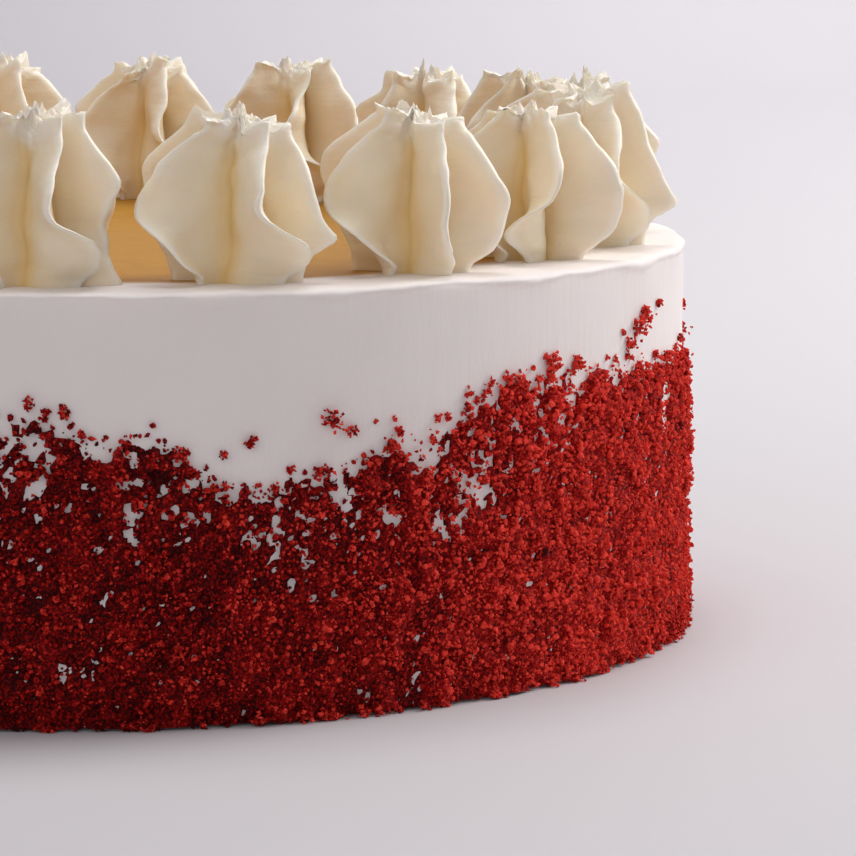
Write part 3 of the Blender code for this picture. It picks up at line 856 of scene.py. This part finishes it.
def swirl_piece(index, swirl, reaches, material):
    """One swirl: its sections skinned, its faces a little uneven and its crown torn."""
    shares = swirl_shares()
    points, depths = swirl_points(swirl, reaches, shares)
    seed = 100 + 20 * index
    (wide, deep), (narrow, shallow) = SWIRL_WAVES
    wander = noise_along_axes(points, wide, seed) * deep
    wander += noise_along_axes(points, narrow, seed + 3) * shallow
    points += wander * np.array((1, 1, 0.3)) * ease(shares * 8)[:, None, None]
    points = torn_crown(points, shares, seed)
    points[0, :, 2] = SWIRL_FOOT
    levels, count = points.shape[:2]
    quads = ring_faces(levels, count)
    middle = swirl["lean"] + (0, 0, swirl["height"] - 0.75 * CROWN_DIP)
    cap, cap_faces = torn_cap(points[-1], middle, seed + 12)
    cap_faces = cap_faces + (levels - 1) * count
    verts = np.vstack([points.reshape(-1, 3), cap])
    verts += heading(np.array(swirl["bearing"])) * SWIRL_RING_RADIUS + (0, 0, CAKE_TOP + SWIRL_GAP)
    smooth = np.arange(len(quads) + len(cap_faces)) < len(quads)
    piece = add_mesh(f"cream_{index:02d}", verts, np.vstack([quads, cap_faces]), material, smooth)
    # Painted golden shade goes in the hollow attribute, painted highlight in the edge attribute.
    golden, pale = cream_tints(depths, shares)
    add_attribute(piece, "hollow", np.concatenate([golden, np.zeros(len(cap))]))
    add_attribute(piece, "edge", np.concatenate([pale, np.full(len(cap), RIM_HIGHLIGHT)]))
    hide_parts(f"swirl_{index:02d}")
    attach(piece, BODY)


# ---- the frosting ----


def rim_lip(angles):
    """How far down the rim's thin lip of smoothed frosting hangs at angles in radians."""
    hang = LIP_HANG + layered(heading(angles), LIP_LAYERS)
    for at, wide, deep in RIM_SMEARS:
        off = (np.degrees(angles) - at + 180) % 360 - 180
        hang += MM * deep * ease(1.5 - np.abs(off) / wide)
    return hang


def frosting_outline():
    """The body's outline from the middle of the foot to the middle of the top: (radius, height)."""
    bevel_in, bevel_up = FOOT_BEVEL
    outline = [(0.0, 0.0), (CAKE_RADIUS - bevel_in, 0.0)]
    for step in np.linspace(0, 1, SIDE_ROWS + 1) ** 0.5:
        outline.append((CAKE_RADIUS, bevel_up + (CAKE_TOP - bevel_up - RIM_ROUNDING) * step))
    for step in range(1, RIM_ROWS + 1):
        turn = math.radians(90 * step / RIM_ROWS)
        radius = CAKE_RADIUS - RIM_ROUNDING * (1 - math.cos(turn))
        outline.append((radius, CAKE_TOP - RIM_ROUNDING * (1 - math.sin(turn))))
    outline += [(CAKE_RADIUS * share, CAKE_TOP) for share in TOP_SHARES]
    return np.array(outline)


def frosting_piece(material):
    """The smooth frosted body, with an uneven rim and a painted golden shade on the middle of its top."""
    outline = frosting_outline()
    angles = np.arange(FROSTING_AROUND) * 2 * np.pi / FROSTING_AROUND
    radius = np.repeat(outline[:, :1], FROSTING_AROUND, axis=1)
    height = np.repeat(outline[:, 1:], FROSTING_AROUND, axis=1)
    points = np.stack([radius * np.cos(angles), radius * np.sin(angles), height], axis=-1)
    band_down, band_in = RIM_BAND
    near_rim = ease((height - (CAKE_TOP - band_down)) / RIM_FADE)
    near_rim = near_rim * ease((radius - (CAKE_RADIUS - band_in)) / RIM_FADE)
    wave = rough(points * (1, 1, 0.3), 0.012, 5)
    over = ease((height - (CAKE_TOP - rim_lip(angles))) / 0.0004)
    over = over * ease((radius - (CAKE_RADIUS - 0.003)) / 0.002)
    out = near_rim * wave * RIM_WAVE + over * (LIP_OUT + LIP_VARIES * wave)
    out = out + SIDE_WAVE * rough(points, 0.02, 9)
    points[..., :2] *= (1 + out / CAKE_RADIUS)[..., None]
    points[..., 2] += near_rim * rough(points, 0.009, 15) * RIM_RISE
    faces = ring_faces(len(outline), FROSTING_AROUND)
    piece = add_mesh("frosting", points.reshape(-1, 3), faces, material)
    # Painted golden shade on the middle of the top, fading out before the white rim.
    border = SHADED_TOP_RADIUS + SHADED_TOP_WANDER * noise(points, 0.012, 17)
    painted_shade_top = (height >= CAKE_TOP - 0.0001) * ease((border - radius) / SHADED_TOP_BORDER)
    add_attribute(piece, "shaded", painted_shade_top.ravel())
    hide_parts("cake")
    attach(piece, BODY)


# ---- the crumb coat ----


def line_heights():
    """The height of the coat's upper edge at LINE_STEPS even steps round the cake."""
    (first, first_height), (last, last_height) = CRUMB_LINE[0], CRUMB_LINE[-1]
    closed = ((last - 360, last_height), *CRUMB_LINE, (first + 360, first_height))
    return np.array([smooth_through(closed, first + 360 * step / LINE_STEPS) for step in range(LINE_STEPS)])


LINE_HEIGHTS = line_heights()


def crumb_line(angles):
    """The height of the crumb coat's upper edge at angles in radians."""
    steps = (np.degrees(angles) - CRUMB_LINE[0][0]) % 360 / 360 * LINE_STEPS
    return LINE_HEIGHTS[steps.astype(int) % LINE_STEPS]


def on_side(angles, heights, out):
    """Points on the side, out metres beyond the frosting."""
    radius = CAKE_RADIUS + out
    return np.stack([radius * np.cos(angles), radius * np.sin(angles), heights], axis=-1)


def spot_distance(points, spot):
    """How far points are from the middle of a spot on the side, in radii of the spot."""
    at, height, size = spot
    middle = on_side(np.array(math.radians(at)), np.array(height * MM), 0)
    return np.linalg.norm(points - middle, axis=-1) / (size * MM)


def depth_below_line(angles, heights):
    """How far points lie below the crumb coat's ragged upper edge, in metres."""
    return crumb_line(angles) + layered(on_side(angles, heights, 0), RAGGED_LAYERS) - heights


def cover_margins(angles, heights):
    """How far points are inside the coat's edge, in metres, and inside its gaps' edges, in noise."""
    depth = depth_below_line(angles, heights)
    points = on_side(angles, heights, 0)
    limit = GAP_LIMIT
    for more, start, length in GAP_LIMIT_BELOW:
        limit = limit + more * ease((depth - start) / length)
    for patch in THIN_PATCHES:
        less = THIN_LESS + THIN_LESS_BY_SIZE * patch[2]
        limit = limit - less * ease(THIN_REACH - spot_distance(points, patch))
    return depth, limit - layered(points, GAP_LAYERS)


def cover(angles, heights):
    """How much of the frosting crumbs hide, from 0 to 1: gaps show through near the upper edge."""
    depth, margin = cover_margins(angles, heights)
    return ease(depth / EDGE_SOFTNESS + 0.4) * ease((margin + GAP_SOFTNESS / 2) / GAP_SOFTNESS)


def relief(points):
    """How far the coat stands out from the frosting: clumps with hollows between, in metres."""
    clumps = layered(points, CLUMP_LAYERS)
    columns = layered(points * COLUMN_SQUASH, COLUMN_LAYERS)
    return COAT_OUT + COAT_VARIES * (clumps + columns)


def paler(angles):
    """How much lighter crumbs are at angles in radians: painted light, lightest where the window light falls.
    """
    at, tones = zip(*WINDOW_SIDE_LIGHT)
    return np.interp(np.degrees(angles), at, tones)


def darkness(angles, heights):
    """How dark crumbs are, from 0 to 1, near the dark spots."""
    places, dark = on_side(angles, heights, 0), np.zeros_like(angles)
    for spot in DARK_SPOTS:
        far = spot_distance(places, spot)
        dark = np.maximum(dark, DARKEST * ease(1.5 - far - 0.3 * noise(places, 0.0012, 81)))
    return dark


def unit_ball(kind):
    """A ball of radius 1 as points and faces: eight faces for a grain, twenty for a lump."""
    if kind == "grain":
        points = np.repeat(np.eye(3), 2, axis=0) * ([1], [-1], [1], [-1], [1], [-1])
        faces = np.array((
            (0, 2, 4), (2, 1, 4), (1, 3, 4), (3, 0, 4), (2, 0, 5), (1, 2, 5), (3, 1, 5), (0, 3, 5),
        ))
        return points, faces
    ball = bmesh.new()
    bmesh.ops.create_icosphere(ball, subdivisions=1, radius=1.0)
    points = np.array([v.co for v in ball.verts], float)
    faces = np.array([[v.index for v in f.verts] for f in ball.faces], np.int32)
    ball.free()
    return points, faces


def rock_templates(kind, seed):
    """Uneven little lumps of unit size, as an array of points for each, and their faces."""
    ball, faces = unit_ball(kind)
    draw = np.random.default_rng(seed)
    rocks = []
    for number in range(ROCK_COUNT):
        swell = 1 + ROCK_UNEVEN * rough(ball + draw.uniform(-50, 50, 3), 0.8, seed + number, 2)
        stray = draw.normal(0, ROCK_STRAY[kind], ball.shape)
        rocks.append((ball * swell[:, None] + stray) * draw.uniform(*ROCK_STRETCH, 3))
    return np.array(rocks), faces


def random_turns(draw, count):
    """Random rotation matrices."""
    q = draw.normal(size=(count, 4))
    q /= np.linalg.norm(q, axis=1)[:, None]
    w, x, y, z = q.T
    return np.stack([
        1 - 2 * (y * y + z * z), 2 * (x * y - z * w), 2 * (x * z + y * w),
        2 * (x * y + z * w), 1 - 2 * (x * x + z * z), 2 * (y * z - x * w),
        2 * (x * z - y * w), 2 * (y * z + x * w), 1 - 2 * (x * x + y * y),
    ], axis=-1).reshape(count, 3, 3)


def crumb_piece(name, crumbs, kind, material, seed):
    """Many lumps as one mesh: one at each place, with its own radius and tone."""
    places, radii, tones = crumbs
    draw = np.random.default_rng(seed)
    rocks, faces = rock_templates(kind, seed)
    chosen = rocks[draw.integers(0, len(rocks), len(places))] * radii[:, None, None]
    turned = np.einsum("nij,nvj->nvi", random_turns(draw, len(places)), chosen)
    verts = (turned + places[:, None, :]).reshape(-1, 3)
    verts[:, 2] = np.maximum(verts[:, 2], LOWEST_CRUMB)
    corners = faces[None] + (np.arange(len(places)) * rocks.shape[1])[:, None, None]
    piece = add_mesh(name, verts, corners.reshape(-1, 3), material, smooth=False)
    add_attribute(piece, "tone", np.repeat(tones, rocks.shape[1]))
    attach(piece, BODY)


def coat_crumbs(draw, wanted, radius_range, lift_range):
    """Places for crumbs on the coat, their radii and tones, drawn where the coat covers."""
    angles = draw.uniform(-np.pi, np.pi, wanted * CRUMB_DRAWS)
    heights = draw.uniform(*CRUMB_HEIGHTS, wanted * CRUMB_DRAWS)
    kept = draw.random(len(angles)) < cover(angles, heights)
    angles, heights = angles[kept][:wanted], heights[kept][:wanted]
    least, most = radius_range
    radii = least + (most - least) * draw.random(len(angles)) ** CRUMB_SIZE_POWER
    edge = ease(depth_below_line(angles, heights) / EDGE_THINNING)
    stand = relief(on_side(angles, heights, 0)) * (EDGE_THICKNESS + (1 - EDGE_THICKNESS) * edge)
    places = on_side(angles, heights, stand + draw.uniform(*lift_range, len(angles)))
    # Painted shade: crumbs sunk in the coat's hollows are darker.
    tones = CRUMB_TONE + (stand - COAT_OUT) * RELIEF_SHADE_TONE + rough(places, 0.006, 71) * TONE_PATCHES
    tones += draw.normal(0, TONE_SPREAD, len(angles))
    # Painted light: lighter on the side the window light falls on.
    tones += paler(angles) + rough(places, 0.0022, 75, 2) * TONE_FLECKS
    # Painted shade at the foot, where the coat is undercut.
    tones -= FOOT_PAINTED_SHADE * (1 - ease(heights / FOOT_SHADE_TOP))
    return places, radii, np.clip(tones, 0, 1) * (1 - darkness(angles, heights))


def clump_spots(draw):
    """Clumps as (angle, height, radius): the ones placed singly, and more drawn at random."""
    clumps = [(math.radians(at), height * MM, radius * MM) for at, height, radius in LOOSE_CLUMPS]
    for count, start, end, mean, most, small, large in CLUMPS_ABOVE:
        for _ in range(count):
            angle = draw.uniform(math.radians(start), math.radians(end))
            rise = min(draw.exponential(mean), most)
            clumps.append((angle, float(crumb_line(np.array(angle))) + rise, draw.uniform(small, large) * MM))
    count, rises, sizes = EDGE_CLUMPS
    for _ in range(count):
        angle, rise = draw.uniform(-math.pi, math.pi), draw.uniform(*rises)
        clumps.append((angle, float(crumb_line(np.array(angle))) + rise, draw.uniform(*sizes) * MM))
    count, sizes, middle = FOOT_CLUMPS
    for _ in range(count):
        angle, radius = draw.uniform(-math.pi, math.pi), draw.uniform(*sizes)
        clumps.append((angle, middle * radius * MM, radius * MM))
    return clumps


def clump_crumbs(draw):
    """The places, radii and tones of the grains of all clumps."""
    places, radii, tones = [], [], []
    for angle, height, size in clump_spots(draw):
        grains = int(CLUMP_GRAINS + (size / MM) ** 2 * CLUMP_GRAINS_BY_SIZE)
        offsets = draw.normal(0, CLUMP_SCATTER, (grains, 3)) * size
        out = min(size, CLUMP_OUT_MOST) * CLUMP_OUT + (FOOT_CLUMP_OUT if height < MM else 0)
        middle = on_side(np.array(angle), np.array(height), out)
        places.append(middle + offsets * CLUMP_SHAPE)
        radii.append(draw.uniform(*CLUMP_GRAIN_RADII, grains) * MM)
        # Painted light: clumps are lighter on the side the window light falls on.
        tones.append(np.clip(draw.normal(*CLUMP_TONES, grains) + 0.5 * paler(angle), 0, 1))
    return np.concatenate(places), np.concatenate(radii), np.concatenate(tones)


def bed_piece(material):
    """The grainy layer right on the frosting, torn open where the coat has gaps."""
    angles = np.linspace(-np.pi, np.pi, BED_AROUND, endpoint=False)
    angle, height = np.meshgrid(angles, np.linspace(*BED_HEIGHTS, BED_ROWS))
    points = on_side(angle, height, 0)
    depth, margin = cover_margins(angle, height)
    torn = margin + BED_TORN * noise(points, 0.0013, 57)
    firm = ease(np.minimum((depth - 0.0006) / 0.0016, (torn - 0.02) / 0.20))
    stand = relief(points)
    above = np.maximum(stand - BED_SUNK, BED_LEAST) + BED_GRAIN * noise(points, 0.0011, 55)
    points = on_side(angle, height, BED_HIDDEN + (above - BED_HIDDEN) * firm)
    faces = ring_faces(BED_ROWS, BED_AROUND)
    shown = (firm.ravel()[faces] > 0.1).any(axis=1)
    piece = add_mesh("crumb_bed", points.reshape(-1, 3), faces[shown], material, smooth=False)
    # Partly painted shade: the bed is darker than the crumbs and darker in its hollows; painted light makes
    # it lighter on the window side.
    tones = np.clip(BED_TONE + (stand - COAT_OUT) * BED_TONE_BY_RELIEF + 0.4 * paler(angle), 0, 1)
    add_attribute(piece, "tone", (tones * (1 - darkness(angle, height))).ravel())
    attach(piece, BODY)


def add_crumbs():
    """The bed, the crumbs of the coat and the loose clumps."""
    red = crumb_material()
    bed_piece(red)
    draw = np.random.default_rng(CRUMB_SEED)
    for number in range(FINE_PIECES):
        fine = coat_crumbs(draw, *FINE_CRUMBS)
        crumb_piece(f"crumbs_fine_{number}", fine, "grain", red, 200 + number)
    crumb_piece("crumbs_coarse", coat_crumbs(draw, *COARSE_CRUMBS), "lump", red, 210)
    loose = clump_crumbs(np.random.default_rng(CRUMB_SEED + 1))
    crumb_piece("crumbs_loose", loose, "grain", red, 220)


# ---- the whole ----


def build():
    add_camera()
    add_lights()
    add_stage()
    frosting_piece(frosting_material())
    cream = cream_material()
    swirls = [swirl_draws(index) for index in range(SWIRL_COUNT)]
    for index, (swirl, reaches) in enumerate(zip(swirls, swirl_reaches(swirls))):
        swirl_piece(index, swirl, reaches, cream)
    add_crumbs()


build()
